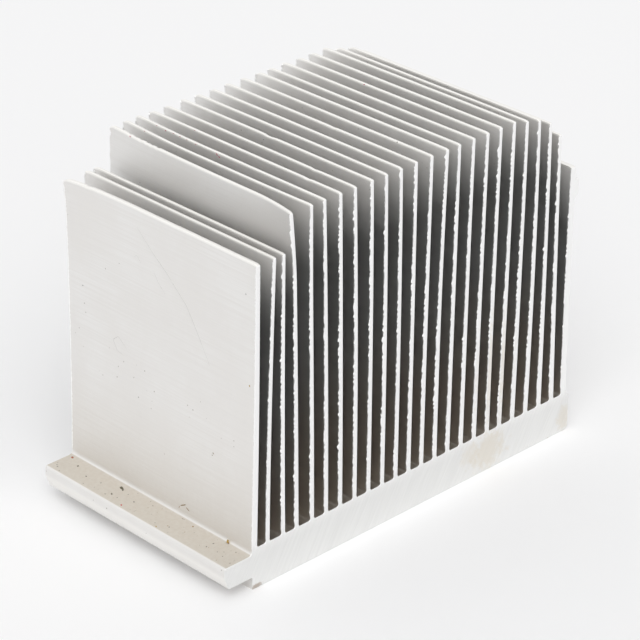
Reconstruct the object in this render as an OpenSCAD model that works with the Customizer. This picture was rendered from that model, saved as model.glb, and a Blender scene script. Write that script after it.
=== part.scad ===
// Extruded aluminium heat sink, sawn to length: one solid with a flange along one side.
// X runs across the fins, Y along the channels, Z up from the flat underside.
// The origin is the middle of the underside. The flange is on the -X side.

/* [Base] */
// From the left side of the foot to the even place of the first fin
first_fin_in = 0.5; // [0.5:0.1:6]
// From the even place of the last fin to the right side of the base
last_fin_in = 1.9; // [1.2:0.1:8]
// Thickness of the base, from its underside to the channel floors
base_t = 8.5; // [6:0.1:16]
// Length of the sawn piece, along the channels
body_len = 50.5; // [30:0.5:200]
// Rounding of the lower right edge of the base
base_edge_r = 0.9; // [0.3:0.1:3]
// Slope at the top of the right side, between the base and the last fin
base_shoulder = 0.8; // [0.2:0.1:3]

/* [Flange] */
// Reach of the flange past the foot
flange_out = 6.7; // [3:0.1:20]
// Thickness of the flange
flange_t = 4.7; // [3:0.1:8]
// Height of the flange's underside above the underside of the base
flange_lift = 2.6; // [0.5:0.1:6]
// Height of the slanted lower part of the flange's outer side
flange_slant_h = 2.5; // [1:0.1:2.8]
// How far in that slant brings the side
flange_slant_in = 0.8; // [0.1:0.1:2]
// Bevel between the slant and the flange's underside
flange_bevel = 0.3; // [0.1:0.1:0.6]
// Rounding of the flange's upper outer edge
flange_lip_r = 0.4; // [0.1:0.1:0.6]
// Fillet between the flange and the first fin
flange_root_r = 0.8; // [0.2:0.1:2]

/* [Fins] */
// Number of fins
fin_count = 24; // [8:1:40]
// Even spacing of the fins
fin_pitch = 3.6; // [3:0.1:8]
// Height of the tall fins above the underside of the base
fin_top = 72; // [40:0.5:100]
// Thickness of a fin where it meets the base, left side of the die
fin_root_t = 0.95; // [0.6:0.05:2]
// Extra root thickness that the fins gain towards the right side of the die
fin_root_gain = 0.3; // [0:0.05:0.6]
// Thickness of a fin at its tip
fin_tip_t = 0.65; // [0.4:0.05:1.6]
// Radius of the fillets along both sides of each channel floor
channel_r = 0.45; // [0.2:0.05:0.8]

/* [Outer fins] */
// Number of lower fins beside the flange
low_fins = 3; // [1:1:6]
// How far those fins stop short of the tall ones
low_fin_drop = 7.2; // [0:0.1:20]
// Root thickness of the first fin
first_fin_root_t = 1.3; // [0.9:0.05:3]
// Tip thickness of the first fin
first_fin_tip_t = 0.9; // [0.6:0.05:2]
// Thickness of the last fin, the same from root to tip
last_fin_t = 1.45; // [0.8:0.05:3]
// Rounding of the last fin's upper outer edge
last_fin_edge_r = 0.5; // [0.1:0.1:0.7]

/* [Side rib] */
// How far the rib's upper edge lies below the last fin's tip
rib_in = 2.8; // [1:0.1:30]
// Height of the rib itself
rib_h = 4.2; // [2:0.1:8]
// Slope of the rib's lower edge, measured up the side
rib_slope = 0.9; // [0.2:0.1:1.8]

/* [Hidden] */
$fn = 48;

// How far each shape is sunk into the one that carries it.
sink = 0.3;
// How far a channel fillet's circle dips into the faces that it joins.
fillet_dip = 0.02;

// How far the last fins stop short of the tall ones, from the right side inwards.
right_drops = [14.4, 6.5, 3.3, 1.7, 0.9];

// How far each fin stands off its even place: at its root, half way up and at its tip.
root_offs = [
    0.1, -0.25, 0, -0.25, 0.05, 0, 0, 0.1, 0.1, 0.1, 0.05, -0.1,
    -0.25, -0.25, -0.35, -0.25, -0.2, -0.15, -0.3, -0.2, -0.05, 0.2, 0.3, 0.2
];
mid_offs = [
    1, 0.6, 0.1, -0.25, -0.05, -0.1, 0, 0.15, 0.35, 0.35, 0.35, 0.25,
    0.25, 0.2, 0.25, 0.3, 0.4, 0.35, 0.45, 0.5, 0.65, 0.4, -0.15, 0.1
];
tip_offs = [
    1.65, 1.9, 0.5, -0.15, -0.4, -0.6, -0.35, -0.35, 0.2, 0.2, 0.3, 0.5,
    0.9, 1.3, 0.85, 1, 1.15, 1.05, 1.1, 1, 0.8, 0.35, -0.35, 0.3
];

// Knocks that bent a fin's upper corner: fin, end (-1 front, 1 back), sideways move,
// reach along the fin, reach down from its top.
bends = [
    [1, 1, -0.75, 20, 52],
    [1, 1, -0.25, 9, 14],
    [4, -1, -0.45, 11, 50],
    [4, -1, -0.75, 11, 14],
    [4, 1, 1, 30, 45],
    [5, -1, 0.25, 11, 20],
    [5, 1, 0.95, 20, 30],
    [6, 1, 0.7, 20, 30]
];
// Height of the straight stretch at each fin's root, which no knock has bent.
stub_h = 4;
// Steps of a straight fin's curve above that stretch.
curve_steps = 4;
// Steps of a bent fin's curve, up its height and along its length.
bent_curve_steps = 7;
bent_stations = 10;

base_w = first_fin_in + (fin_count - 1) * fin_pitch + last_fin_in;
foot_x = -base_w / 2;
side_x = base_w / 2;
flange_z = flange_lift + flange_t;
front_y = -body_len / 2;
// The top of the straight stretch, on a whole eighth of a millimetre: such a number is
// stored exactly, so that a bent fin's loft meets the extruded stretch with no gap.
stub_z = ceil(8 * (base_t + stub_h)) / 8;
rib_z = tip_z(fin_count) - rib_in - rib_h;

// An entry of a per-fin list, which starts over when there are more fins than entries.
function entry(list, k) = list[(k - 1) % len(list)];

function ramp(reach, distance) = max(0, 1 - distance / reach);

// Height of fin k's tip: lower beside the flange and stepping down at the right side.
function tip_z(k) =
    k <= low_fins ? fin_top - low_fin_drop
    : fin_count - k < len(right_drops) ? fin_top - right_drops[fin_count - k]
    : fin_top;

// Share of fin k's height at z, 0 at the channel floor and 1 at the tip.
function rise(k, z) = (z - base_t) / (tip_z(k) - base_t);

// Middle of fin k at height z: a curve through its places at root, half height and tip.
function fin_x(k, z) =
    let (
        s = rise(k, z),
        even_x = foot_x + first_fin_in + (k - 1) * fin_pitch
    )
    even_x
    + entry(root_offs, k) * (1 - s) * (1 - 2 * s)
    + entry(mid_offs, k) * 4 * s * (1 - s)
    + entry(tip_offs, k) * s * (2 * s - 1);

// Thickness of fin k at height z, tapering straight from root to tip.
function fin_t(k, z) =
    let (
        s = rise(k, z),
        across = (k - 1) / (fin_count - 1)
    )
    k == fin_count ? last_fin_t
    : k == 1 ? first_fin_root_t * (1 - s) + first_fin_tip_t * s
    : (fin_root_t + fin_root_gain * across * across) * (1 - s) + fin_tip_t * s;

// How far the knocks have pushed fin k sideways at y, z.
function bend_x(k, y, z) =
    let (
        moves = [
            for (b = bends)
                if (b[0] == k)
                    b[2] * pow(ramp(b[3], body_len / 2 - b[1] * y), 2)
                    * pow(ramp(b[4], tip_z(k) - z), 1.5)
        ]
    )
    len(moves) == 0 ? 0 : moves * [for (m = moves) 1];

// One side of fin k at y, z: -1 is its left side, 1 its right side.
function fin_side(k, side, y, z) = fin_x(k, z) + bend_x(k, y, z) + side * fin_t(k, z) / 2;

function is_bent(k) = len([for (b = bends) if (b[0] == k) k]) > 0;

// Heights of the points on a fin's side, above the straight stretch.
function curve_heights(k, steps) = [for (i = [0:steps]) stub_z + (tip_z(k) - stub_z) * i / steps];

// Slope of the straight stretch on one side of fin k.
function root_slope(k, side) =
    (fin_side(k, side, 0, stub_z) - fin_side(k, side, 0, base_t)) / (stub_z - base_t);

// Points of fin k's section at the given heights: up its left side and down its right side.
function fin_outline(k, y, heights) =
    concat(
        [for (z = heights) [fin_side(k, -1, y, z), z]],
        [for (i = [len(heights) - 1:-1:0]) [fin_side(k, 1, y, heights[i]), heights[i]]]
    );

// Draws a section in X and Z, and pulls it along the whole length.
module extrusion() {
    translate([0, body_len / 2, 0])
    rotate([90, 0, 0])
    linear_extrude(height = body_len)
    children();
}

// The web between a square corner at the origin and a round one of radius r.
module corner_web(r) {
    difference() {
        translate([-sink, -sink])
        square(r + sink);
        translate([r, r])
        circle(r);
        translate([r, -2 * sink])
        square(2 * r);
        translate([-2 * sink, r])
        square(2 * r);
    }
}

// Waste outside a rounded edge whose square corner is at the origin.
module edge_waste(r) {
    difference() {
        translate([-sink, -sink])
        square(r + sink);
        translate([r, r])
        circle(r);
    }
}

// Fillet between the channel floor and one side of fin k. Its circle dips a little into
// both, so that it crosses them cleanly.
module channel_fillet(k, side) {
    slope = root_slope(k, side);
    root_x = fin_side(k, side, 0, base_t);
    stretch = sqrt(1 + slope * slope);
    centre = [root_x + channel_r * (slope + side * stretch), base_t + channel_r];
    touch = centre - side * channel_r / stretch * [1, -slope];
    difference() {
        polygon([
            [root_x - side * sink, base_t - sink],
            [centre[0], base_t - sink],
            centre,
            touch,
            touch - [side * sink, 0]
        ]);
        translate(centre - fillet_dip * [side, 1])
        circle(channel_r);
    }
}

// The base with its foot, its rounded lower right edge and its sloped right shoulder.
module base_section() {
    last_side = fin_side(fin_count, 1, 0, base_t);
    difference() {
        polygon([
            [foot_x, 0],
            [side_x, 0],
            [side_x, base_t - base_shoulder],
            [last_side, base_t],
            [foot_x, base_t]
        ]);
        translate([side_x, 0])
        mirror([1, 0])
        edge_waste(base_edge_r);
    }
}

// The flange: its outer side slants in towards the underside, its upper outer edge is
// rounded, and a fillet joins it to the first fin.
module flange_section() {
    outer_x = foot_x - flange_out;
    difference() {
        polygon([
            [outer_x, flange_z],
            [outer_x, flange_lift + flange_slant_h],
            [outer_x + flange_slant_in, flange_lift + flange_bevel],
            [outer_x + flange_slant_in + flange_bevel, flange_lift],
            [foot_x + sink, flange_lift],
            [foot_x + sink, flange_z]
        ]);
        translate([outer_x, flange_z])
        mirror([0, 1])
        edge_waste(flange_lip_r);
    }
    translate([fin_side(1, -1, 0, base_t), flange_z])
    mirror([1, 0])
    corner_web(flange_root_r);
}

// The rib on the outer side of the last fin, out to the side of the base.
module rib_section() {
    inner_x = fin_x(fin_count, rib_z);
    difference() {
        polygon([
            [inner_x, rib_z],
            [fin_side(fin_count, 1, 0, rib_z), rib_z],
            [side_x, rib_z + rib_slope],
            [side_x, rib_z + rib_h],
            [inner_x, rib_z + rib_h]
        ]);
        translate([side_x, rib_z + rib_h])
        rotate(180)
        edge_waste(last_fin_edge_r);
    }
}

// Section of fin k, sunk into the base. A bent fin has only its straight stretch here.
// The first fin's outer side runs on down to the flange.
module fin_section(k) {
    foot_z = (k == 1 ? min(base_t, flange_z) : base_t) - sink;
    heights = concat([base_t], is_bent(k) ? [stub_z] : curve_heights(k, curve_steps));
    root_left = fin_side(k, -1, 0, base_t);
    root_right = fin_side(k, 1, 0, base_t);
    difference() {
        polygon(concat(
            fin_outline(k, 0, heights),
            [[root_right, foot_z], [root_left, foot_z]]
        ));
        if (k == fin_count)
            translate([fin_side(k, 1, 0, tip_z(k)), tip_z(k)])
            rotate(180)
            edge_waste(last_fin_edge_r);
    }
}

// The bent part of fin k, standing on its straight stretch: its section lofted through
// stations along the length.
module bent_fin(k) {
    stations = [
        for (j = [0:bent_stations])
            let (y = front_y + body_len * j / bent_stations)
            [for (p = fin_outline(k, y, curve_heights(k, bent_curve_steps))) [p[0], y, p[1]]]
    ];
    ring = len(stations[0]);
    skin = [
        for (j = [0:bent_stations - 1])
            for (i = [0:ring - 1])
                let (
                    a = j * ring + i,
                    b = j * ring + (i + 1) % ring
                )
                each [[a, a + ring, b + ring], [a, b + ring, b]]
    ];
    front_cap = [for (i = [0:ring - 1]) i];
    back_cap = [for (i = [ring - 1:-1:0]) bent_stations * ring + i];
    polyhedron([for (s = stations) each s], concat(skin, [front_cap, back_cap]));
}

module heat_sink() {
    color("silver")
    union() {
        extrusion() {
            base_section();
            flange_section();
            rib_section();
            for (k = [1:fin_count])
                fin_section(k);
            for (k = [1:fin_count - 1]) {
                channel_fillet(k, 1);
                channel_fillet(k + 1, -1);
            }
        }
        for (k = [1:fin_count])
            if (is_bent(k))
                bent_fin(k);
    }
}

heat_sink();
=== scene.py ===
"""Looks of the extruded heat sink: the sawn profile with its bent fins, saw burrs,
crumbs and scratches, in mill-finish aluminium."""

import math

import bpy
import numpy as np
from mathutils import Matrix, Vector


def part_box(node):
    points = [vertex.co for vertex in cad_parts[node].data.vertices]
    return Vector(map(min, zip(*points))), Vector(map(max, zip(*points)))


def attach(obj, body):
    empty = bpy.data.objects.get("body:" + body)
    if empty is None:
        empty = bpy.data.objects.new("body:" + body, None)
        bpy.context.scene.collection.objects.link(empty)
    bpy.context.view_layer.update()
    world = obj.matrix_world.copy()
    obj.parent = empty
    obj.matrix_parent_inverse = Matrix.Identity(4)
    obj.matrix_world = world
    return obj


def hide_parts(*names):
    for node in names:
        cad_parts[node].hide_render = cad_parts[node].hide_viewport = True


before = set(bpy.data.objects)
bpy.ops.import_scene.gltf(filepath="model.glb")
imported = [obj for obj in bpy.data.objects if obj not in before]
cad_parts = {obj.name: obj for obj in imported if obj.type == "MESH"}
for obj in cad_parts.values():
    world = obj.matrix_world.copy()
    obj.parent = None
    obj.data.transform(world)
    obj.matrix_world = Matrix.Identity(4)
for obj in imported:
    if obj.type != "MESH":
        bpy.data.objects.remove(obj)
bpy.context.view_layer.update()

MM = 0.001

# ---------------------------------------------------------------- sizes, in millimetres

part_low, part_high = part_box("heat_sink")
FLANGE_X = part_low.x / MM
SIDE_X = part_high.x / MM
BODY_LEN = (part_high.y - part_low.y) / MM
FIN_TOP = part_high.z / MM
FRONT_Y = part_low.y / MM
BACK_Y = part_high.y / MM

FIN_COUNT = 24
FIRST_FIN_IN = 0.5
LAST_FIN_IN = 1.9
FLANGE_OUT = 6.7
FOOT_X = FLANGE_X + FLANGE_OUT
PITCH = (SIDE_X - FOOT_X - FIRST_FIN_IN - LAST_FIN_IN) / (FIN_COUNT - 1)

BASE_T = 8.5
BASE_EDGE_R = 0.9
BASE_SHOULDER = 0.8
FLANGE_T = 4.7
FLANGE_LIFT = 2.6
FLANGE_SLANT_H = 2.5
FLANGE_SLANT_IN = 0.8
FLANGE_BEVEL = 0.3
FLANGE_LIP_R = 0.4
FLANGE_ROOT_R = 0.8
FLANGE_Z = FLANGE_LIFT + FLANGE_T

FIN_ROOT_T = 0.95
FIN_ROOT_GAIN = 0.3
FIN_TIP_T = 0.65
FIRST_ROOT_T = 1.3
FIRST_TIP_T = 0.9
LAST_FIN_T = 1.45
LAST_EDGE_R = 0.5
CHANNEL_R = 0.45
TIP_R = 0.2
STUB_Z = BASE_T + 4

LOW_FINS = 3
LOW_FIN_DROP = 7.2
RIGHT_DROPS = np.array([14.4, 6.5, 3.3, 1.7, 0.9])
RIB_IN = 2.8
RIB_H = 4.2
RIB_SLOPE = 0.9

# Sideways offset of each fin at its root, half way up and at its tip.
ROOT_OFFS = np.array([
    0.1, -0.25, 0, -0.25, 0.05, 0, 0, 0.1, 0.1, 0.1, 0.05, -0.1,
    -0.25, -0.25, -0.35, -0.25, -0.2, -0.15, -0.3, -0.2, -0.05, 0.2, 0.3, 0.2,
])
MID_OFFS = np.array([
    1, 0.6, 0.1, -0.25, -0.05, -0.1, 0, 0.15, 0.35, 0.35, 0.35, 0.25,
    0.25, 0.2, 0.25, 0.3, 0.4, 0.35, 0.45, 0.5, 0.65, 0.4, -0.15, 0.1,
])
TIP_OFFS = np.array([
    1.65, 1.9, 0.5, -0.15, -0.4, -0.6, -0.35, -0.35, 0.2, 0.2, 0.3, 0.5,
    0.9, 1.3, 0.85, 1, 1.15, 1.05, 1.1, 1, 0.8, 0.35, -0.35, 0.3,
])

# Knocks: fin, end (-1 front, 1 back), sideways move, reach along the fin, reach down.
KNOCKS = (
    (1, 1, -0.75, 20, 52),
    (1, 1, -0.25, 9, 14),
    (1, 1, -0.35, 8, 4.5),
    (4, -1, -0.45, 11, 50),
    (4, -1, -0.75, 11, 14),
    (4, 1, 1.0, 30, 45),
    (5, -1, 0.25, 11, 20),
    (5, 1, 0.95, 20, 30),
    (6, 1, 0.7, 20, 30),
)

# Width of the broken edge round each sawn end.
SAWN_EDGE = 0.09
# How far a fin's face strays from its even curve.
WAVE = 0.03

SEED = 11

# Stations along the length, and more of them where a fin's edge is nicked.
ROWS = 62
DENSE_ROWS = np.concatenate([np.arange(10.6, 21.6, 0.62) + 0.07, [-17.1, -16.6, 0.9, 1.5]])

# Nicks in the tips: fin, place along it, half width, drop, sideways push.
NICKS = (
    (4, 11.4, 0.5, 0.16, -0.06), (4, 13.1, 0.6, 0.22, 0.05), (4, 14.3, 0.4, 0.12, -0.1),
    (4, 16.2, 0.7, 0.25, 0.08), (4, 17.7, 0.5, 0.15, -0.08), (4, 19.4, 0.6, 0.2, 0.1),
    (7, -16.9, 0.5, 0.2, 0.1), (8, -15.1, 0.5, 0.14, -0.08), (9, 1.2, 0.9, 0.14, -0.1),
    (12, -3.6, 0.6, 0.16, 0.1), (1, -3.5, 0.8, 0.1, 0.08), (1, 19.3, 0.8, 0.12, -0.06),
)
# Worn upper corners at the sawn ends: end, reach along the fin, drop.
CORNERS = ((1, 1.5, 0.75), (-1, 0.7, 0.3))

# The fin whose upper back edge is bumpy: each bump's depth below the tip, half height,
# reach in along the length and sideways push.
WAVY_FIN = 4
EDGE_WAVES = (
    (1.6, 0.7, 0.38, 0.1), (4.3, 0.8, 0.45, -0.12), (7.0, 0.7, 0.4, 0.1),
    (9.6, 0.9, 0.42, -0.1), (12.4, 0.7, 0.3, 0.08),
)
# A fin whose left face gets more painted shade, as if it lay that much further down its channel.
SHADED_FIN = (4, 2.4)

# Strength of the sky and the key light, and the direction that the key comes from.
SKY = 0.68
KEY = 1.2
KEY_FROM = (-0.5, -0.5, 0.8)

# How rough and how metallic the drawn skin is.
ROUGH = 0.55
METAL = 0.8
DEEP_ROUGH = 0.38

# Beige stains on the sawn front: centre, reach, strength.
STAINS = (
    ((19.3, FRONT_Y, 4.2), (6.5, 3.0, 5.0), 0.5),
    ((14.5, FRONT_Y, 5.5), (4.0, 3.0, 3.5), 0.3),
    ((41.2, FRONT_Y, 3.0), (2.6, 3.0, 4.0), 0.45),
    ((20.5, FRONT_Y, 22.0), (7.0, 3.0, 15.0), 0.4),
)

# Height of a step along a saw burr, its gap below the tip, and each fin's burr strength.
BURR_STEP = 0.15
BURR_TOP_GAP = 0.25
# How far below its tip the bumpy edge stays free of burrs.
BURR_FREE = 15
BURR_SIZE = (0.35, 0.8, 1.0, 1.1, 1.0, 0.9, 1.2, 1.0, 1.1, 1.0, 0.9, 1.0)

# Scratches on the first fin's outer face: points (Y, Z), and width.
SCRATCHES = (
    (((-13.4, 41.0), (-10.1, 46.2), (-7.2, 50.4), (-2.2, 54.7), (1.8, 57.6), (6.1, 61.2)), 0.16),
    (((-1.5, 50.6), (0.4, 52.3), (1.7, 54.2)), 0.1),
    (((5.0, 54.4), (6.2, 55.6), (6.9, 55.1)), 0.09),
    (((9.0, 35.6), (11.5, 37.4), (13.0, 36.2), (11.8, 34.4), (9.9, 34.0)), 0.12),
)


# ---------------------------------------------------------------- the fins' form


def tip_z(k):
    """Height of each fin's tip: lower beside the flange, stepping down at the right."""
    k = np.asarray(k)
    from_right = np.clip(FIN_COUNT - k, 0, len(RIGHT_DROPS) - 1)
    stepped = np.where(
        FIN_COUNT - k < len(RIGHT_DROPS), FIN_TOP - RIGHT_DROPS[from_right], FIN_TOP
    )
    return np.where(k <= LOW_FINS, FIN_TOP - LOW_FIN_DROP, stepped)


def rise(k, z):
    """Share of a fin's height: 0 at the channel floor, 1 at its tip."""
    return (z - BASE_T) / (tip_z(k) - BASE_T)


def curve_x(k, z):
    """Middle of a fin: the parabola through its places at root, half height and tip."""
    s = rise(k, z)
    i = k - 1
    return (
        FOOT_X + FIRST_FIN_IN + i * PITCH
        + ROOT_OFFS[i] * (1 - s) * (1 - 2 * s)
        + MID_OFFS[i] * 4 * s * (1 - s)
        + TIP_OFFS[i] * s * (2 * s - 1)
    )


def thickness(k, z):
    """Straight taper from root to tip; the roots get thicker towards the right."""
    s = rise(k, z)
    across = (k - 1) / (FIN_COUNT - 1)
    inner = (FIN_ROOT_T + FIN_ROOT_GAIN * across**2) * (1 - s) + FIN_TIP_T * s
    first = FIRST_ROOT_T * (1 - s) + FIRST_TIP_T * s
    return np.where(k == FIN_COUNT, LAST_FIN_T, np.where(k == 1, first, inner))


def knock_x(k, y, z):
    """Sum of the knocks: each dies away as a power of the distance from its corner."""
    moved = np.zeros(np.broadcast(k, y, z).shape)
    for fin, end, move, along, down in KNOCKS:
        near_end = np.clip(1 - (BODY_LEN / 2 - end * y) / along, 0, None) ** 2
        near_tip = np.clip(1 - (tip_z(k) - z) / down, 0, None) ** 1.5
        moved = moved + np.where(k == fin, move * near_end * near_tip, 0)
    return moved


def wave_x(k, y, z):
    """Slow waves of a few hundredths of a millimetre, each fin with its own phases."""
    lift = np.clip(rise(k, z), 0, 1)
    slow = np.sin(y / 7.3 + 2.1 * k) * np.cos(z / 11.0 + 1.3 * k)
    quick = np.sin(y / 3.1 + z / 17.0 + 0.7 * k)
    return WAVE * lift * (slow + 0.4 * quick)


def side_x(k, side, y, z):
    """One side of a fin, straight below STUB_Z and on its curve above."""
    s = np.clip((z - BASE_T) / (STUB_Z - BASE_T), None, 1)
    root = curve_x(k, BASE_T) + side * thickness(k, BASE_T) / 2
    stub = curve_x(k, STUB_Z) + side * thickness(k, STUB_Z) / 2
    free = curve_x(k, z) + side * thickness(k, z) / 2
    even = np.where(z < STUB_Z, root + (stub - root) * s, free)
    return even + knock_x(k, y, z) + wave_x(k, y, z)


# ---------------------------------------------------------------- mesh helpers


def make_mesh(name, points, faces, materials, face_material=None, sharp_angle=None):
    """Points in millimetres and faces become one object, placed in its mesh."""
    mesh = bpy.data.meshes.new(name)
    mesh.from_pydata((np.asarray(points) * MM).tolist(), [], faces)
    for material in materials:
        mesh.materials.append(material)
    if face_material is not None:
        mesh.polygons.foreach_set("material_index", np.asarray(face_material, np.int32))
    mesh.polygons.foreach_set("use_smooth", np.ones(len(mesh.polygons), bool))
    mesh.update()
    if sharp_angle is not None:
        mesh.set_sharp_from_angle(angle=math.radians(sharp_angle))
    mesh.validate()
    obj = bpy.data.objects.new(name, mesh)
    bpy.context.scene.collection.objects.link(obj)
    return obj


def grid_faces(rows, columns, start=0, closed=False):
    """Quads between the points of a grid that is stored row after row."""
    across = columns if closed else columns - 1
    i, j = np.meshgrid(np.arange(rows - 1), np.arange(across), indexing="ij")
    a = start + i * columns + j
    b = start + i * columns + (j + 1) % columns
    return np.stack([a, b, b + columns, a + columns], -1).reshape(-1, 4)


def arc(centre, radius, start, end, steps):
    """Points of a round corner, from one angle to the other, in degrees."""
    t = np.radians(np.linspace(start, end, steps + 1))
    return np.stack([centre[0] + radius * np.cos(t), centre[1] + radius * np.sin(t)], -1)


# ---------------------------------------------------------------- the profile

FILLET_STEPS = 4
TIP_STEPS = 2
# Steps up a fin: by its number, and 0 for the rest.
SIDE_STEPS = {0: 12, 4: 30}


class Outline:
    """The closed outline of the section, anticlockwise seen from the front.

    Each point is either fixed at (x, z), or lies on one side of a fin at height z,
    a distance out from its face."""

    def __init__(self):
        self.fin, self.side, self.x, self.z, self.out = [], [], [], [], []

    def fixed(self, x, z):
        self.fin.append(0)
        self.side.append(0)
        self.x.append(x)
        self.z.append(z)
        self.out.append(0)
        return len(self.z) - 1

    def on_fin(self, k, side, z, out=0.0):
        self.fin.append(k)
        self.side.append(side)
        self.x.append(0)
        self.z.append(z)
        self.out.append(out)
        return len(self.z) - 1

    def at(self, y):
        """X and Z of every point at stations y, as two arrays (stations, points)."""
        fin, side = np.array(self.fin), np.array(self.side)
        x, z, out = np.array(self.x), np.array(self.z), np.array(self.out)
        k = np.maximum(fin, 1)
        y = np.asarray(y)[:, None]
        on_side = side_x(k, side, y, z) + side * out
        xs = np.where(fin > 0, on_side, x)
        return xs, np.broadcast_to(z, xs.shape).copy()


def fin_heights(k):
    """Heights up one side of a fin, closer together towards its tip."""
    low = BASE_T + CHANNEL_R
    high = float(tip_z(k)) - TIP_R
    t = np.linspace(0, 1, SIDE_STEPS.get(k, SIDE_STEPS[0]) + 1)
    heights = low + (high - 0.3 - low) * (1 - (1 - t) ** 1.5)
    return np.append(heights, high)


def root_fillet():
    """Height and reach of each point of the fillet at a fin's root, from the floor up."""
    turn = np.radians(np.linspace(0, 90, FILLET_STEPS + 1))[:-1]
    return [(BASE_T + CHANNEL_R * (1 - math.cos(a)), CHANNEL_R * (1 - math.sin(a))) for a in turn]


def tip_corner(top):
    """Height and inset of each point of a fin's rounded tip, from its side upwards."""
    turn = np.radians(np.linspace(0, 90, TIP_STEPS + 1))[1:]
    return [(top - TIP_R * (1 - math.sin(a)), -TIP_R * (1 - math.cos(a))) for a in turn]


def add_fin(outline, k):
    """Up the right side of fin k, over its tip and down its left side, with the
    fillets at its root. Returns the two runs of indices, both from root to tip."""
    runs = []
    straight = [(z, 0.0) for z in fin_heights(k)]
    for side in (1, -1):
        steps = root_fillet() + straight + tip_corner(float(tip_z(k)))
        if side < 0:
            steps = steps[::-1]
        run = [outline.on_fin(k, side, z, out) for z, out in steps]
        runs.append(run if side > 0 else run[::-1])
    return runs


def build_outline():
    """The whole section: underside, right side, fins from right to left, flange."""
    o = Outline()
    ks = np.arange(1, FIN_COUNT + 1)
    root_r = side_x(ks, 1, 0, BASE_T)
    root_l = side_x(ks, -1, 0, BASE_T)
    floor_l = root_r[:-1] + CHANNEL_R
    floor_r = root_l[1:] - CHANNEL_R
    bottom = {}

    # underside from the foot to the right, one point under each point of the floors
    bottom["foot"] = o.fixed(FOOT_X, 0)
    bottom["pairs"] = []
    for k in range(1, FIN_COUNT):
        left = o.fixed(floor_l[k - 1], 0)
        middle = o.fixed((floor_l[k - 1] + floor_r[k - 1]) / 2, 0)
        right = o.fixed(floor_r[k - 1], 0)
        bottom["pairs"].append((left, middle, right))
    for x, z in arc((SIDE_X - BASE_EDGE_R, BASE_EDGE_R), BASE_EDGE_R, -90, 0, 5):
        o.fixed(x, z)
    o.fixed(SIDE_X, BASE_T - BASE_SHOULDER)

    # last fin: its outer side with the rib, its rounded edge, its inner side
    rib_top = float(tip_z(FIN_COUNT)) - RIB_IN
    rib_low = rib_top - RIB_H
    last_top = float(tip_z(FIN_COUNT))
    last = [o.on_fin(FIN_COUNT, 1, BASE_T)]
    for z in np.linspace(BASE_T, rib_low, 14)[1:]:
        last.append(o.on_fin(FIN_COUNT, 1, z))
    last.append(o.fixed(SIDE_X, rib_low + RIB_SLOPE))
    for x, z in arc((SIDE_X - LAST_EDGE_R, rib_top - LAST_EDGE_R), LAST_EDGE_R, 0, 90, 4):
        last.append(o.fixed(x, z))
    last.append(o.on_fin(FIN_COUNT, 1, rib_top))
    last.append(o.on_fin(FIN_COUNT, 1, last_top - LAST_EDGE_R))
    for a in np.radians([22.5, 45, 67.5, 90]):
        out = -LAST_EDGE_R * (1 - math.cos(a))
        last.append(o.on_fin(FIN_COUNT, 1, last_top - LAST_EDGE_R * (1 - math.sin(a)), out))
    last.append(o.on_fin(FIN_COUNT, -1, last_top))
    for z in fin_heights(FIN_COUNT)[::-1]:
        last.append(o.on_fin(FIN_COUNT, -1, z))
    for z, out in root_fillet()[::-1]:
        last.append(o.on_fin(FIN_COUNT, -1, z, out))

    # channels and fins, from right to left
    fins, floors = {}, {}
    for k in range(FIN_COUNT - 1, 0, -1):
        floors[k] = o.fixed((floor_l[k - 1] + floor_r[k - 1]) / 2, BASE_T)
        if k > 1:
            fins[k] = add_fin(o, k)

    # first fin: inner side, tip, outer side down to the flange
    first_top = float(tip_z(1))
    first = [o.on_fin(1, 1, z, out) for z, out in root_fillet()]
    for z in fin_heights(1):
        first.append(o.on_fin(1, 1, z))
    corner = tip_corner(first_top)
    first += [o.on_fin(1, 1, z, out) for z, out in corner]
    first += [o.on_fin(1, -1, z, out) for z, out in corner[::-1]]
    for z in fin_heights(1)[::-1]:
        first.append(o.on_fin(1, -1, z))
    first.append(o.on_fin(1, -1, BASE_T))

    # flange: fillet, top, lip, outer side, lower edge, underside, foot
    wall_x = float(side_x(1, -1, 0, BASE_T))
    centre = (wall_x - FLANGE_ROOT_R, FLANGE_Z + FLANGE_ROOT_R)
    flange = []
    for x, z in arc(centre, FLANGE_ROOT_R, 0, -90, 5):
        flange.append(o.fixed(x, z))
    for x in np.linspace(centre[0], FLANGE_X + FLANGE_LIP_R, 6)[1:-1]:
        flange.append(o.fixed(x, FLANGE_Z))
    lip = (FLANGE_X + FLANGE_LIP_R, FLANGE_Z - FLANGE_LIP_R)
    for x, z in arc(lip, FLANGE_LIP_R, 90, 180, 4):
        flange.append(o.fixed(x, z))
    for share in (0.35, 0.7, 1):
        z = FLANGE_Z - FLANGE_LIP_R + (FLANGE_SLANT_H - FLANGE_T + FLANGE_LIP_R) * share
        flange.append(o.fixed(FLANGE_X, z))
    for share in (0.5, 1):
        z = FLANGE_LIFT + FLANGE_SLANT_H + (FLANGE_BEVEL - FLANGE_SLANT_H) * share
        flange.append(o.fixed(FLANGE_X + FLANGE_SLANT_IN * share, z))
    for x in (FLANGE_X + FLANGE_SLANT_IN + FLANGE_BEVEL, FOOT_X - 2.8, FOOT_X):
        flange.append(o.fixed(x, FLANGE_LIFT))
    return o, {
        "bottom": bottom, "last": last, "fins": fins, "floors": floors,
        "first": first, "flange": flange,
    }


def stations():
    """Places along the length, closer together near both sawn ends."""
    t = np.linspace(0, 1, ROWS)
    even = 2 * t - 1
    crowded = -np.cos(np.pi * t)
    inner = (0.45 * even + 0.55 * crowded) * (BODY_LEN / 2 - SAWN_EDGE)
    inner = np.sort(np.concatenate([inner, DENSE_ROWS]))
    return np.concatenate([[FRONT_Y], inner, [BACK_Y]])


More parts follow.
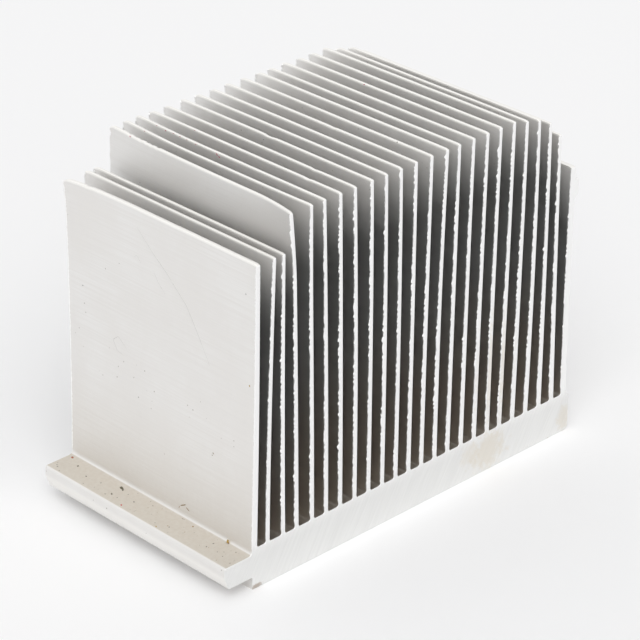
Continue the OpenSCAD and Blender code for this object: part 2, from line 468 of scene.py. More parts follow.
def smooth(low, high, value):
    """0 below low, 1 above high, and an S-shaped rise between them."""
    t = np.clip((value - low) / (high - low), 0, 1)
    return t * t * (3 - 2 * t)


def dent(o, xs, ys, zs):
    """Knocks that only show close up: nicks in the tips, each a bell along the fin that
    dies away down its side; worn corners at the ends; and a bumpy upper back edge on
    one fin, whose points move in along the length."""
    fin = np.array(o.fin)[None, :]
    below = tip_z(np.maximum(fin, 1)) - zs
    near = np.clip(1 - below / 1.6, 0, 1) ** 1.5 * (fin > 0)
    back, front = BACK_Y - ys, ys - FRONT_Y
    for k, at, width, drop, push in NICKS:
        bell = np.exp(-(((ys - at) / width) ** 2)) * (fin == k) * near
        zs -= drop * bell
        xs += push * bell
    for end, reach, drop in CORNERS:
        wear_and_highlight = np.clip(1 - (back if end > 0 else front) / reach, 0, 1) ** 2.2
        zs -= drop * wear_and_highlight * near * (0.7 + 0.3 * np.sin(1.9 * fin))
    at_edge = np.exp(-back / 1.1) * (fin == WAVY_FIN)
    for down, width, depth, push in EDGE_WAVES:
        bell = np.exp(-(((below - down) / width) ** 2)) * at_edge
        ys -= depth * bell
        xs += push * bell


def surface_marks(o, xs, zs):
    """Per-point values for the materials: how far down a channel a point lies, which sets the
    painted shade there, how dusty it is, and how much painted highlight it gets."""
    fin, side = np.array(o.fin)[None, :], np.array(o.side)[None, :]
    outer = ((fin == 1) & (side < 0)) | ((fin == FIN_COUNT) & (side > 0))
    in_channel = ((fin > 0) | (zs == BASE_T)) & ~outer
    left_tip = tip_z(np.clip(np.where(side < 0, fin - 1, fin), 1, FIN_COUNT))
    shade_from = np.where(fin > 0, np.minimum(tip_z(np.maximum(fin, 1)), left_tip), FIN_TOP)
    # The depth sets the painted shade down each channel, as well as the roughness and metal
    # there.
    deep = np.where(in_channel, np.clip(shade_from - zs, 0, None), 0)
    # Extra painted shade on the left face of one fin.
    deep = deep + SHADED_FIN[1] * ((fin == SHADED_FIN[0]) & (side < 0))
    below = tip_z(np.maximum(fin, 1)) - zs
    # Painted highlight along the fins' tips, stronger on their left sides, which face the light.
    tip = np.where(fin > 0, smooth(0.45, 0.15, below) * np.where(side < 0, 1, 0.45), 0)
    # Painted highlight on the flange's lower slanted face, which faces the shaded floor; it goes
    # into the same tip values.
    slant = (fin == 0) & (xs < FLANGE_X + 1.5) & (zs < FLANGE_LIFT + FLANGE_SLANT_H + 0.1)
    dust = 0.4 * smooth(22, 0, zs - FLANGE_Z) * ((fin == 1) & (side < 0))
    return {"deep": deep, "dust": dust, "tip": tip + 0.55 * slant}


def set_in(xs, zs, amount):
    """The outline of one station, moved in along its own normals."""
    step_x = np.roll(xs, -1) - np.roll(xs, 1)
    step_z = np.roll(zs, -1) - np.roll(zs, 1)
    length = np.maximum(np.hypot(step_x, step_z), 1e-9)
    return xs - amount * step_z / length, zs + amount * step_x / length


def end_faces(o, parts):
    """Faces of one sawn end in point numbers, anticlockwise seen from the front."""
    faces = []
    for right, left in parts["fins"].values():
        for i in range(len(right) - 1):
            faces.append([right[i], right[i + 1], left[i + 1], left[i]])
    faces.append(parts["last"][1:] + [parts["last"][0]])
    pairs, floors, fins = parts["bottom"]["pairs"], parts["floors"], parts["fins"]
    last, first = parts["last"], parts["first"]
    count = len(o.z)
    for k in range(1, FIN_COUNT):
        bottom_l, bottom_m, bottom_r = pairs[k - 1]
        left = first[0] if k == 1 else fins[k][0][0]
        right = last[-1] if k == FIN_COUNT - 1 else fins[k + 1][1][0]
        faces.append([bottom_l, bottom_m, floors[k], left])
        faces.append([bottom_m, bottom_r, right, floors[k]])
        if k < FIN_COUNT - 1:
            next_left = pairs[k][0]
            faces.append([bottom_r, next_left, fins[k + 1][0][0], fins[k + 1][1][0]])
    side = list(range(pairs[-1][2] + 1, last[0] + 1))
    faces.append([pairs[-1][2]] + side + [last[-1]])
    faces.append([pairs[0][0], first[0]] + first[1:] + list(range(first[-1] + 1, count))
                 + [parts["bottom"]["foot"]])
    return faces


def build_profile(skin, sawn):
    """The section carried along the stations, with a broken edge and two sawn ends."""
    o, parts = build_outline()
    ys = stations()
    xs, zs = o.at(ys)
    even_xs, even_zs = xs[len(ys) // 2], zs[len(ys) // 2]
    step = np.hypot(np.diff(even_xs, prepend=even_xs[-1]), np.diff(even_zs, prepend=even_zs[-1]))
    across = np.broadcast_to(np.cumsum(step), xs.shape)
    ys = np.repeat(ys[:, None], xs.shape[1], axis=1)
    marks = surface_marks(o, xs, zs)
    dent(o, xs, ys, zs)
    for row in (0, -1):
        xs[row], zs[row] = set_in(xs[row], zs[row], SAWN_EDGE)
    rows, columns = xs.shape
    points = np.stack([xs, ys, zs], -1).reshape(-1, 3)
    walls = grid_faces(rows, columns, closed=True)[:, ::-1]
    front = end_faces(o, parts)
    back = [[(rows - 1) * columns + i for i in face[::-1]] for face in front]
    faces = walls.tolist() + front + back
    kinds = np.zeros(len(walls))
    kinds[:columns] = 1
    kinds[-columns:] = 1
    kinds = np.concatenate([kinds, np.ones(2 * len(front))])
    obj = make_mesh(
        "heat_sink_profile", points, faces, [skin, sawn], kinds, sharp_angle=28
    )
    marks["across"] = across
    for name, values in marks.items():
        layer = obj.data.attributes.new(name, "FLOAT", "POINT")
        layer.data.foreach_set("value", np.ascontiguousarray(values, np.float32).ravel())
    return obj


# ---------------------------------------------------------------- burrs and crumbs


def knots(rng, low, high, spacing):
    """Random values at unevenly spaced places, for np.interp."""
    places = np.arange(low - 2 * spacing, high + 2 * spacing, spacing)
    places = places + spacing * rng.uniform(-0.4, 0.4, len(places))
    return places, rng.uniform(0, 1, len(places))


def saw_burrs(name, end, material):
    """A ragged lip of metal along the -X edge of every fin at one sawn end: a closed
    five-sided strip up the edge, whose reach past the edge is seeded noise with a few
    larger bumps. It stays within the sawn length."""
    rng = np.random.default_rng(SEED + end)
    edge_y = BODY_LEN / 2
    points, faces = [], []
    for k in range(1, FIN_COUNT + 1):
        top = float(tip_z(k)) - (BURR_FREE if end > 0 and k == WAVY_FIN else BURR_TOP_GAP)
        low = BASE_T + 0.7 if k > 1 else FLANGE_Z + 1.2
        z = np.arange(low, top, BURR_STEP)
        count = len(z)
        fine = np.interp(z, *knots(rng, low, top, 0.34))
        slow = np.interp(z, *knots(rng, low, top, 2.6))
        reach = 0.03 + 0.3 * fine**1.4 * (0.25 + slow)
        for at in rng.uniform(low + 2, top - 1, rng.integers(3, 8)):
            reach += rng.uniform(0.1, 0.26) * np.exp(-(((z - at) / 0.28) ** 2))
        reach *= BURR_SIZE[min(k, len(BURR_SIZE)) - 1]
        reach *= smooth(0, 1.2, z - low) * smooth(0, 0.4, top - z) + 0.05
        edge = side_x(k, -1, end * edge_y, z)
        depth = 0.22 + 0.12 * rng.uniform(-1, 1, count)
        section = (
            (edge + 0.16, np.full(count, 0.015)),
            (edge - 0.8 * reach, 0.02 + 0.03 * fine),
            (edge - reach, 0.07 + 0.05 * fine),
            (edge - 0.5 * reach, depth),
            (edge + 0.05, depth + 0.12),
        )
        for offset, (x, inward) in enumerate(section):
            y = end * (edge_y - inward)
            points.append(np.stack([x, y, z, np.full(count, offset)], -1))
        start = sum(len(p) for p in points[:-5])
        block = np.arange(5)[:, None] * count + np.arange(count)[None, :] + start
        a = block[:, :-1]
        b = np.roll(block, -1, 0)[:, :-1]
        quads = np.stack([a, b, b + 1, a + 1], -1).reshape(-1, 4)
        caps = [block[::-1, 0].tolist(), block[:, -1].tolist()]
        if end > 0:
            quads = quads[:, ::-1]
            caps = [cap[::-1] for cap in caps]
        faces += quads.tolist() + caps
    points = np.concatenate(points)[:, :3]
    return make_mesh(name, points, faces, [material], sharp_angle=50)


def blob(rng, centre, normal, long_axis, length, width, height, lumps=0.25):
    """A flattened lump lying on a surface: a sphere whose radius is uneven, squashed
    along the surface's normal. Rings run from pole to pole, 6 of them with 8 points."""
    normal, long_axis = np.array(normal, float), np.array(long_axis, float)
    third = np.cross(normal, long_axis)
    polar = np.linspace(0, np.pi, 8)[1:-1]
    turn = np.linspace(0, 2 * np.pi, 9)[:-1]
    t, a = np.meshgrid(polar, turn, indexing="ij")
    uneven = 1 + lumps * rng.uniform(-1, 1, t.shape)
    p = np.concatenate([
        [[0, 0, 1]],
        np.stack([np.sin(t) * np.cos(a), np.sin(t) * np.sin(a), np.cos(t)], -1).reshape(-1, 3)
        * uneven.reshape(-1, 1),
        [[0, 0, -1]],
    ])
    placed = (
        np.array(centre) + p[:, :1] * long_axis * length / 2
        + p[:, 1:2] * third * width / 2 + p[:, 2:] * normal * height / 2
    )
    faces = grid_faces(len(polar), 8, start=1, closed=True).tolist()
    last = len(placed) - 1
    for i in range(8):
        faces.append([0, 1 + i, 1 + (i + 1) % 8])
        faces.append([last, last - 8 + (i + 1) % 8, last - 8 + i])
    return placed, faces


def build_crumbs(name, spots, material):
    """Crumbs and flakes: one uneven lump for each spot, in one mesh, with its colour
    kept in an attribute."""
    rng = np.random.default_rng(SEED)
    points, faces, tones = [], [], []
    for centre, normal, axis, length, width, height, tone in spots:
        p, f = blob(rng, centre, normal, axis, length, width, height)
        start = sum(len(q) for q in points)
        points.append(p)
        faces += [[start + i for i in face] for face in f]
        tones += [(*tone, 1)] * len(p)
    obj = make_mesh(name, np.concatenate(points), faces, [material], sharp_angle=60)
    layer = obj.data.attributes.new("tone", "FLOAT_COLOR", "POINT")
    layer.data.foreach_set("color", np.array(tones, np.float32).ravel())
    return obj


def build_scratches(name, material):
    """Raised edges of the scratches on the first fin's outer face: a smooth curve
    through each scratch's points, with a lens-shaped section that thins to its ends."""
    points, faces = [], []
    for path, width in SCRATCHES:
        path = np.array(path, float)
        run = np.concatenate([[0], np.cumsum(np.hypot(*np.diff(path, axis=0).T))])
        t = np.linspace(0, run[-1], max(12, int(run[-1] / 0.5)))
        y = np.interp(t, run, path[:, 0])
        z = np.interp(t, run, path[:, 1])
        ky, kz = np.gradient(y), np.gradient(z)
        length = np.hypot(ky, kz)
        share = t / run[-1]
        half = width / 2 * np.sqrt(np.clip(4 * share * (1 - share), 0.02, 1))
        rise_out = 0.012
        face_x = side_x(1, -1, y, z)
        start = sum(len(p) for p in points)
        across_y, across_z = -kz / length, ky / length
        ring = (
            (face_x + 0.004, -half), (face_x - rise_out, 0 * half), (face_x + 0.004, half),
            (face_x + 0.02, 0 * half),
        )
        block = np.stack([
            np.stack([x, y + across_y * h, z + across_z * h], -1) for x, h in ring
        ], 1)
        points.append(block.reshape(-1, 3))
        faces += grid_faces(len(t), 4, start=start, closed=True).tolist()
        faces.append([start + i for i in (3, 2, 1, 0)])
        end = start + 4 * (len(t) - 1)
        faces.append([end + i for i in (0, 1, 2, 3)])
    return make_mesh(name, np.concatenate(points), faces, [material])


# ---------------------------------------------------------------- node helpers


class Nodes:
    """Adds nodes to one tree and joins them: an input is a socket or a plain value."""

    def __init__(self, tree):
        self.tree = tree

    def put(self, socket, value):
        if isinstance(value, bpy.types.NodeSocket):
            self.tree.links.new(value, socket)
        else:
            socket.default_value = value

    def add(self, kind, inputs, **settings):
        node = self.tree.nodes.new(kind)
        for key, value in settings.items():
            setattr(node, key, value)
        for key, value in inputs.items():
            self.put(node.inputs[key], value)
        return node

    def math(self, operation, *values, clamp=False):
        node = self.tree.nodes.new("ShaderNodeMath")
        node.operation = operation
        node.use_clamp = clamp
        for socket, value in zip(node.inputs, values):
            self.put(socket, value)
        return node.outputs[0]

    def vector(self, x, y, z):
        return self.add("ShaderNodeCombineXYZ", {"X": x, "Y": y, "Z": z}).outputs[0]

    def axes(self, vector):
        return self.add("ShaderNodeSeparateXYZ", {"Vector": vector}).outputs

    def between(self, value, low, high, out_low=0.0, out_high=1.0):
        inputs = {
            "Value": value, "From Min": low, "From Max": high,
            "To Min": out_low, "To Max": out_high,
        }
        node = self.add("ShaderNodeMapRange", inputs, interpolation_type="SMOOTHSTEP")
        return node.outputs[0]

    def noise(self, vector, scale, detail=3.0, roughness=0.5):
        inputs = {
            "Vector": vector, "Scale": scale, "Detail": detail, "Roughness": roughness,
        }
        return self.add("ShaderNodeTexNoise", inputs).outputs["Fac"]

    def mix(self, amount, below, above):
        node = self.tree.nodes.new("ShaderNodeMix")
        node.data_type = "RGBA"
        self.put(node.inputs[0], amount)
        self.put(node.inputs[6], below)
        self.put(node.inputs[7], above)
        return node.outputs[2]

    def attribute(self, name):
        return self.add("ShaderNodeAttribute", {}, attribute_name=name).outputs["Fac"]

    def use(self, group, **inputs):
        """A node of the given group; its inputs by name, with _ for a space."""
        node = self.tree.nodes.new("ShaderNodeGroup")
        node.node_tree = group
        for key, value in inputs.items():
            self.put(node.inputs[key.replace("_", " ")], value)
        return node.outputs[0]


def new_group(name, inputs, output):
    """An empty group with named inputs (name, kind, default) and one output."""
    tree = bpy.data.node_groups.new(name, "ShaderNodeTree")
    for label, kind, value in inputs:
        socket = tree.interface.new_socket(label, in_out="INPUT", socket_type=kind)
        socket.default_value = value
    tree.interface.new_socket(output, in_out="OUTPUT", socket_type="NodeSocketFloat")
    n = Nodes(tree)
    return tree, n, n.add("NodeGroupInput", {}).outputs, n.add("NodeGroupOutput", {}).inputs[0]


def new_material(name):
    material = bpy.data.materials.new(name)
    material.use_nodes = True
    n = Nodes(material.node_tree)
    shader = material.node_tree.nodes["Principled BSDF"]
    texture = n.add("ShaderNodeTexCoord", {})
    in_mm = n.add(
        "ShaderNodeVectorMath", {0: texture.outputs["Object"], "Scale": 1000.0},
        operation="SCALE",
    )
    return material, n, shader.inputs, in_mm.outputs[0]


VECTOR = "NodeSocketVector"
FLOAT = "NodeSocketFloat"

# Lines drawn by the die: noise that runs on along the length and varies across it.
DIE_LINES, n, given, result = new_group("die_lines", (
    ("Across", FLOAT, 0.0), ("Along", FLOAT, 0.0), ("Per mm", FLOAT, 1.0),
    ("Run", FLOAT, 60.0),
), "Lines")
coarse_across = n.math("MULTIPLY", given["Across"], given["Per mm"])
coarse_along = n.math("DIVIDE", given["Along"], given["Run"])
n.put(result, n.noise(n.vector(coarse_across, coarse_along, 0.0), 1.0, 5.0, 0.72))

# Saw marks: noise drawn out along slanting lines in the plane of a sawn end.
SAW_MARKS, n, given, result = new_group("saw_marks", (
    ("Position", VECTOR, (0, 0, 0)), ("Slant", FLOAT, 1.05), ("Per mm", FLOAT, 2.0),
), "Marks")
turned = n.add(
    "ShaderNodeVectorRotate", {"Vector": given["Position"], "Angle": given["Slant"]},
    rotation_type="Y_AXIS",
)
x, y, z = n.axes(turned.outputs[0])
fine = n.vector(n.math("MULTIPLY", x, 0.06), 0.0, n.math("MULTIPLY", z, given["Per mm"]))
n.put(result, n.noise(fine, 1.0, 4.0, 0.65))

# Soft uneven patches: a noise pushed to the two ends of its range.
PATCHES, n, given, result = new_group("patches", (
    ("Position", VECTOR, (0, 0, 0)), ("Size", FLOAT, 10.0), ("Low", FLOAT, 0.4),
    ("High", FLOAT, 0.65),
), "Mask")
cloud = n.noise(given["Position"], n.math("DIVIDE", 1.0, given["Size"]), 5.0, 0.6)
n.put(result, n.between(cloud, given["Low"], given["High"]))

# A stain: an ellipsoid round a centre, with a ragged edge.
STAIN, n, given, result = new_group("stain", (
    ("Position", VECTOR, (0, 0, 0)), ("Centre", VECTOR, (0, 0, 0)),
    ("Reach", VECTOR, (1, 1, 1)), ("Grain", FLOAT, 1.0),
), "Mask")
away = n.add(
    "ShaderNodeVectorMath", {0: given["Position"], 1: given["Centre"]},
    operation="SUBTRACT",
)
scaled = n.add(
    "ShaderNodeVectorMath", {0: away.outputs[0], 1: given["Reach"]}, operation="DIVIDE"
)
length = n.add("ShaderNodeVectorMath", {0: scaled.outputs[0]}, operation="LENGTH")
ragged = n.noise(given["Position"], given["Grain"], 5.0, 0.7)
edge = n.math("ADD", length.outputs["Value"], n.math("MULTIPLY_ADD", ragged, 1.6, -0.8))
n.put(result, n.between(edge, 1.0, 0.35))

# Specks: small round spots in a part of the cells of a cell pattern.
SPECKS, n, given, result = new_group("specks", (
    ("Position", VECTOR, (0, 0, 0)), ("Spacing", FLOAT, 2.0), ("Share", FLOAT, 0.3),
    ("Size", FLOAT, 0.1),
), "Mask")
cells = n.add(
    "ShaderNodeTexVoronoi",
    {"Vector": given["Position"], "Scale": n.math("DIVIDE", 1.0, given["Spacing"])},
)
pick = n.axes(cells.outputs["Color"])
chosen = n.math("LESS_THAN", pick[0], given["Share"])
size = n.math("MULTIPLY", given["Size"], n.math("ADD", pick[1], 0.4))
dot = n.between(cells.outputs["Distance"], size, n.math("MULTIPLY", size, 0.5))
n.put(result, n.math("MULTIPLY", dot, chosen))


# ---------------------------------------------------------------- materials


def mill_aluminium():
    """The drawn skin: pale, faintly lined, with painted shade darkening it and a browner tone
    deep down the channels, dust on the flange, painted highlights on the tips and the flange's
    slant, and a few specks."""
    material, n, shader, place = new_material("mill_aluminium")
    x, along, height = n.axes(place)
    across = n.attribute("across")
    deep = n.attribute("deep")
    dust = n.attribute("dust")
    tip = n.attribute("tip")
    lines = n.use(DIE_LINES, Across=across, Along=along, Per_mm=1.6, Run=55.0)
    hair = n.use(DIE_LINES, Across=across, Along=along, Per_mm=5.5, Run=24.0)
    cloud = n.use(PATCHES, Position=place, Size=14.0, Low=0.35, High=0.68)
    scuff = n.use(PATCHES, Position=place, Size=2.2, Low=0.56, High=0.72)

    streak = n.math("ADD", n.math("MULTIPLY", lines, 0.55), n.math("MULTIPLY", hair, 0.45))
    pale = n.mix(cloud, (0.80, 0.785, 0.765, 1), (0.83, 0.822, 0.808, 1))
    lined = n.mix(n.between(streak, 0.36, 0.6), (0.797, 0.783, 0.764, 1), pale)
    # Painted shade: the colour darkens down each channel, and turns browner near its floor.
    down = n.math("MULTIPLY_ADD", deep, 1 / 12.0, -0.04, clamp=True)
    brown = n.between(deep, 26.0, 58.0)
    deep_shade_colour = n.mix(brown, (0.70, 0.70, 0.69, 1), (0.74, 0.69, 0.63, 1))
    lower = n.mix(down, lined, deep_shade_colour)
    ledge = n.math(
        "MULTIPLY", n.between(x, FLANGE_X + 0.3, FLANGE_X + 0.5),
        n.between(x, FOOT_X - 0.25, FOOT_X - 0.45),
    )
    ledge = n.math("MULTIPLY", ledge, n.math("GREATER_THAN", height, FLANGE_Z - 0.1))
    dust = n.math("MAXIMUM", dust, ledge)
    dust_grain = n.use(PATCHES, Position=place, Size=0.8, Low=0.3, High=0.7)
    tan = n.mix(dust_grain, (0.585, 0.535, 0.465, 1), (0.615, 0.575, 0.51, 1))
    dusty = n.mix(n.math("MULTIPLY", dust, 0.95), lower, tan)
    # Painted highlight: the fins' tips and the flange's slant are painted near white.
    wear_and_highlight = n.mix(tip, dusty, (0.93, 0.92, 0.89, 1))
    speck = n.use(SPECKS, Position=place, Spacing=1.5, Share=0.16, Size=0.09)
    open_face = n.between(deep, 6.0, 2.0, 0.25, 0.8)
    spotted = n.mix(n.math("MULTIPLY", speck, open_face), wear_and_highlight, (0.30, 0.27, 0.23, 1))
    n.put(shader["Base Color"], spotted)

    rough = n.between(streak, 0.35, 0.65, ROUGH + 0.06, ROUGH - 0.04)
    rough = n.math("MULTIPLY_ADD", down, DEEP_ROUGH - ROUGH, rough)
    rough = n.math("MULTIPLY_ADD", scuff, 0.05, rough)
    rough = n.math("MULTIPLY_ADD", dust, 0.3, rough, clamp=True)
    n.put(shader["Roughness"], rough)
    cover = n.math("MULTIPLY", dust, 0.85)
    bare = n.math("MULTIPLY_ADD", down, 1 - METAL, METAL)
    metal = n.math("MULTIPLY", bare, n.math("SUBTRACT", 1.0, cover))
    n.put(shader["Metallic"], metal)
    relief = n.math("ADD", streak, n.math("MULTIPLY", dust_grain, n.math("MULTIPLY", dust, 0.5)))
    bump = n.add(
        "ShaderNodeBump", {"Strength": 0.15, "Distance": 0.00006, "Height": relief}
    )
    n.put(shader["Normal"], bump.outputs[0])
    return material


def sawn_aluminium():
    """A sawn end: bright bare metal with slanting saw marks, painted lighter still on the fins'
    ends than on the base, beige stains on the base and the lower fins, and dark specks along the
    lower edge."""
    material, n, shader, place = new_material("sawn_aluminium")
    height = n.axes(place)[2]
    marks = n.use(SAW_MARKS, Position=place, Slant=1.05, Per_mm=1.6)
    finer = n.use(SAW_MARKS, Position=place, Slant=1.0, Per_mm=4.5)
    cut = n.math("ADD", n.math("MULTIPLY", marks, 0.6), n.math("MULTIPLY", finer, 0.4))
    bare = n.mix(n.between(cut, 0.36, 0.66), (0.80, 0.80, 0.79, 1), (0.845, 0.845, 0.835, 1))
    # Painted light: the fins' sawn ends are painted lighter than the base's end.
    bright = n.between(height, 6.5, 10.5)
    bare = n.mix(n.math("MULTIPLY", bright, 0.7), bare, (0.97, 0.97, 0.965, 1))
    beige = (0.74, 0.68, 0.58, 1)
    for centre, reach, amount in STAINS:
        mask = n.use(STAIN, Position=place, Centre=centre, Reach=reach, Grain=0.7)
        bare = n.mix(n.math("MULTIPLY", mask, amount), bare, beige)
    edge_speck = n.use(SPECKS, Position=place, Spacing=1.1, Share=0.45, Size=0.16)
    low_edge = n.between(height, 1.0, 0.15)
    dark = n.math("MULTIPLY", edge_speck, low_edge)
    corner = n.use(
        STAIN, Position=place, Centre=(FOOT_X + 1.0, FRONT_Y, 0.5), Reach=(1.7, 2, 0.7),
        Grain=3.0,
    )
    dark = n.math("MAXIMUM", dark, corner)
    colour = n.mix(n.math("MULTIPLY", dark, 0.75), bare, (0.36, 0.28, 0.22, 1))
    n.put(shader["Base Color"], colour)
    n.put(shader["Roughness"], n.between(cut, 0.3, 0.7, 0.6, 0.5))
    n.put(shader["Metallic"], n.math("MULTIPLY_ADD", dark, -0.5, 0.8))
    bump = n.add("ShaderNodeBump", {"Strength": 0.2, "Distance": 0.00006, "Height": cut})
    n.put(shader["Normal"], bump.outputs[0])
    return material


def burr_metal():
    """Fresh torn metal of the saw burrs: bright, with fine uneven glints."""
    material, n, shader, place = new_material("burr_metal")
    torn = n.noise(place, 2.6, 3.0, 0.6)
    n.put(shader["Base Color"], n.mix(torn, (0.90, 0.90, 0.895, 1), (0.985, 0.985, 0.98, 1)))
    n.put(shader["Roughness"], n.between(torn, 0.3, 0.7, 0.7, 0.5))
    shader["Metallic"].default_value = 0.6
    bump = n.add("ShaderNodeBump", {"Strength": 0.4, "Distance": 0.0001, "Height": torn})
    n.put(shader["Normal"], bump.outputs[0])
    return material


def scratch_metal():
    """The raised edge of a scratch: duller and darker than the skin round it."""
    material, n, shader, place = new_material("scratch_metal")
    uneven = n.noise(place, 1.7, 3.0, 0.6)
    n.put(shader["Base Color"], n.mix(uneven, (0.40, 0.39, 0.38, 1), (0.72, 0.71, 0.69, 1)))
    n.put(shader["Roughness"], n.between(uneven, 0.3, 0.7, 0.6, 0.45))
    shader["Metallic"].default_value = 0.8
    return material


def crumb_grime():
    """Crumbs of dirt, rust and paint: each in its own tone, mottled, matt."""
    material, n, shader, place = new_material("crumb_grime")
    tone = n.add("ShaderNodeAttribute", {}, attribute_name="tone").outputs["Color"]
    mottle = n.noise(place, 4.0, 4.0, 0.7)
    shaded = n.mix(n.between(mottle, 0.35, 0.7, 0.0, 0.55), tone, (0.10, 0.08, 0.06, 1))
    n.put(shader["Base Color"], shaded)
    n.put(shader["Roughness"], n.between(mottle, 0.3, 0.7, 0.95, 0.7))
    bump = n.add("ShaderNodeBump", {"Strength": 0.5, "Distance": 0.0001, "Height": mottle})
    n.put(shader["Normal"], bump.outputs[0])
    return material


# ---------------------------------------------------------------- camera

CAMERA_TURN = math.radians(-44.063)
CAMERA_TILT = math.radians(27.503)
CAMERA_ROLL = math.radians(0.17)
CAMERA_LENS = 159.84
CAMERA_DISTANCE = 512.8
AIM = Vector((-18.31, -17.42, 43.25))

ahead = Vector((
    -math.sin(CAMERA_TURN) * math.cos(CAMERA_TILT),
    math.cos(CAMERA_TURN) * math.cos(CAMERA_TILT),
    -math.sin(CAMERA_TILT),
))
level = ahead.cross(Vector((0, 0, 1))).normalized()
upright = level.cross(ahead)
right = math.cos(CAMERA_ROLL) * level + math.sin(CAMERA_ROLL) * upright
above = -math.sin(CAMERA_ROLL) * level + math.cos(CAMERA_ROLL) * upright
place = (AIM - CAMERA_DISTANCE * ahead) * MM
camera_data = bpy.data.cameras.new("camera")
camera_data.sensor_width = 36
camera_data.lens = CAMERA_LENS
camera_data.clip_start = 0.01
camera_data.clip_end = 20
camera = bpy.data.objects.new("camera", camera_data)
bpy.context.scene.collection.objects.link(camera)
turn = Matrix((right, above, -ahead)).transposed().to_4x4()
camera.matrix_world = Matrix.Translation(place) @ turn
bpy.context.scene.camera = camera

# ---------------------------------------------------------------- pieces

OUT_LEFT = (-1, 0, 0)
OUT_UP = (0, 0, 1)
BROWN = (0.36, 0.22, 0.08)
RUST = (0.42, 0.13, 0.07)
OLIVE = (0.13, 0.12, 0.08)
DARK = (0.10, 0.09, 0.08)
RED = (0.62, 0.05, 0.06)
AMBER = (0.50, 0.33, 0.07)


def on_wall(y, z, length, width, tone, slant=0.0, height=0.06):
    """A spot on the first fin's outer face."""
    axis = (0, math.cos(slant), math.sin(slant))
    centre = (float(side_x(1, -1, y, z)), y, z)
    return (centre, OUT_LEFT, axis, length, width, height, tone)


# The first fin's outer face at its root, from the foot's side.
FIRST_FACE = float(side_x(1, -1, 0, BASE_T)) - FOOT_X


def on_flange(x, y, length, width, tone, slant=0.0, height=0.1):
    """A spot on the flange, x from the foot's side outwards."""
    axis = (math.sin(slant), math.cos(slant), 0)
    gone = FLANGE_ROOT_R - min(FIRST_FACE - x, FLANGE_ROOT_R)
    up = FLANGE_ROOT_R - math.sqrt(FLANGE_ROOT_R**2 - gone**2)
    return ((FOOT_X + x, y, FLANGE_Z + up), OUT_UP, axis, length, width, height, tone)


def strewn(count, seed):
    """Small crumbs scattered over the flange."""
    rng = np.random.default_rng(seed)
    tones = (DARK, BROWN, OLIVE, (0.30, 0.26, 0.2), (0.22, 0.17, 0.12))
    spots = []
    for _ in range(count):
        size = 0.1 + 0.16 * rng.random() ** 2
        spots.append(on_flange(
            rng.uniform(-6.0, -0.6), rng.uniform(-24.6, 24.6), size * rng.uniform(1, 1.8),
            size, tones[rng.integers(len(tones))], rng.uniform(0, 3.1), 0.06,
        ))
    return spots


PINK = (0.70, 0.12, 0.20)
ROSE = (0.74, 0.36, 0.40)

# Flecks of marker: fin, place along it, depth below the tip, length, width, slant, tone.
FLECKS = (
    (6, 2.3, 0.35, 0.6, 0.22, 0.7, PINK), (6, 1.7, 0.7, 0.5, 0.2, 0.4, PINK),
    (6, 19.0, 0.15, 0.3, 0.14, 0.0, ROSE), (6, 16.4, 0.3, 0.35, 0.2, 0.2, PINK),
    (6, 14.2, 0.12, 0.5, 0.12, 0.0, ROSE), (6, 12.3, 0.12, 0.3, 0.12, 0.0, PINK),
    (6, 10.4, 0.12, 0.4, 0.12, 0.0, ROSE), (6, 7.9, 0.2, 0.25, 0.14, 0.3, PINK),
    (5, 18.6, 0.15, 0.3, 0.14, 0.0, ROSE), (4, 18.9, 0.3, 0.3, 0.18, 0.2, PINK),
    (7, 12.6, 0.12, 0.3, 0.1, 0.0, ROSE), (17, 6.6, 0.15, 0.3, 0.2, 0.0, PINK),
)


def paint_flecks():
    """Flecks of red marker along the upper edges of a few fins."""
    spots = []
    for k, y, down, length, width, slant, tone in FLECKS:
        z = float(tip_z(k)) - down
        centre = (float(side_x(k, -1, y, z)), y, z)
        axis = (0, math.cos(slant), math.sin(slant))
        spots.append((centre, OUT_LEFT, axis, length, width, 0.05, tone))
    return spots


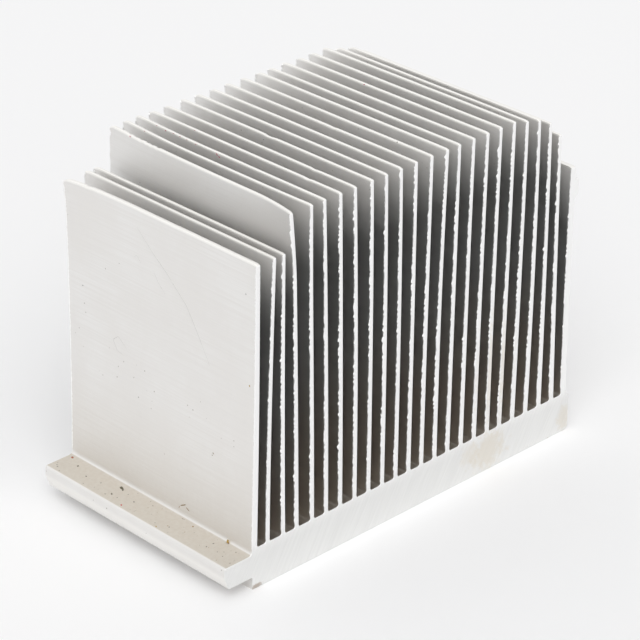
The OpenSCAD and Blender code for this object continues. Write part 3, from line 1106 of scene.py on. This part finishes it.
crumb_spots = [
    on_flange(-1.0, 24.0, 0.7, 0.5, RUST, 0.4),
    on_flange(-2.3, 20.8, 0.5, 0.4, OLIVE, 0.9),
    on_flange(-3.6, 16.8, 0.35, 0.3, DARK),
    on_flange(-1.6, 8.9, 1.2, 0.6, OLIVE, 0.3, 0.16),
    on_flange(-1.9, 8.2, 0.6, 0.45, (0.2, 0.19, 0.15), 1.2),
    on_flange(-4.3, 8.6, 0.7, 0.35, (0.24, 0.22, 0.17), 0.8),
    on_flange(-5.6, 4.3, 0.5, 0.35, RED, 0.5),
    on_flange(-3.2, 3.5, 0.35, 0.3, DARK),
    on_flange(-1.1, -10.5, 0.4, 0.3, BROWN, 1.0),
    on_flange(-5.9, -5.8, 0.35, 0.25, AMBER, 0.2),
    on_flange(-3.9, -17.3, 0.3, 0.22, DARK, 0.2),
    on_flange(-0.15, -18.95, 1.5, 0.35, AMBER, 1.0, 0.3),
    on_flange(-0.35, -19.3, 0.8, 0.3, BROWN, 0.5, 0.3),
    on_wall(-6.6, 9.7, 1.9, 0.22, (0.33, 0.24, 0.12), -0.5, 0.1),
    on_wall(-7.9, 9.4, 1.1, 0.16, BROWN, 0.45, 0.1),
    on_wall(-5.6, 8.9, 0.6, 0.14, BROWN, -0.9, 0.08),
    on_wall(-14.6, 23.8, 0.45, 0.3, (0.30, 0.24, 0.17), 0.6),
    on_wall(-14.3, 23.3, 0.3, 0.2, (0.34, 0.28, 0.2), 0.2),
    on_wall(-23.8, 41.0, 0.4, 0.3, AMBER, 1.2),
    on_wall(21.2, 44.3, 0.3, 0.2, DARK),
    on_wall(-22.6, 58.4, 0.3, 0.16, DARK, 1.3),
    on_wall(7.2, 30.6, 0.22, 0.18, (0.32, 0.28, 0.24)),
    on_wall(-1.4, 18.2, 0.22, 0.16, (0.34, 0.29, 0.24)),
    on_wall(2.3, 26.1, 0.3, 0.1, (0.4, 0.36, 0.32), 0.7),
    on_wall(14.8, 49.9, 0.35, 0.12, (0.4, 0.36, 0.32), 0.9),
    on_wall(11.0, 52.3, 0.26, 0.14, (0.42, 0.4, 0.38), 0.2),
    ((FLANGE_X + 0.04, -11.2, 5.6), OUT_LEFT, (0, 1, 0), 0.6, 0.4, 0.05, DARK),
    ((FLANGE_X + 0.04, 17.0, 5.9), OUT_LEFT, (0, 1, 0), 0.4, 0.3, 0.04, (0.2, 0.18, 0.15)),
] + strewn(46, SEED + 5) + paint_flecks()

skin = mill_aluminium()
profile = build_profile(skin, sawn_aluminium())
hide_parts("heat_sink")
burr = burr_metal()
pieces = [
    profile,
    saw_burrs("saw_burrs_front", -1, burr),
    saw_burrs("saw_burrs_back", 1, burr),
    build_scratches("scratches", scratch_metal()),
    build_crumbs("crumbs", crumb_spots, crumb_grime()),
]
for piece in pieces:
    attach(piece, "root")

# ---------------------------------------------------------------- floor and light

floor_material, n, shader, place = new_material("white_floor")
n.put(shader["Base Color"], (0.95, 0.95, 0.955, 1))
n.put(shader["Roughness"], 1.0)
n.put(shader["Specular IOR Level"], 0.0)
floor = make_mesh(
    "floor",
    [[-3000, -3000, 0], [3000, -3000, 0], [3000, 3000, 0], [-3000, 3000, 0]],
    [[0, 1, 2, 3]],
    [floor_material],
)

world = bpy.data.worlds.new("studio")
bpy.context.scene.world = world
world.use_nodes = True
w = Nodes(world.node_tree)
background = world.node_tree.nodes["Background"]
path = w.add("ShaderNodeLightPath", {})
seen = w.math("MAXIMUM", path.outputs["Is Camera Ray"], path.outputs["Is Glossy Ray"])
w.put(background.inputs["Strength"], w.between(seen, 0.0, 1.0, SKY, 1.0))
background.inputs["Color"].default_value = (1, 1, 1, 1)


def sun(name, towards, strength, spread):
    """A soft sun that shines from the given direction."""
    data = bpy.data.lights.new(name, "SUN")
    data.energy = strength
    data.angle = math.radians(spread)
    lamp = bpy.data.objects.new(name, data)
    lamp.rotation_euler = Vector(towards).to_track_quat("Z", "Y").to_euler()
    bpy.context.scene.collection.objects.link(lamp)


sun("key", KEY_FROM, KEY, 50)

bpy.context.scene.view_settings.view_transform = "Standard"
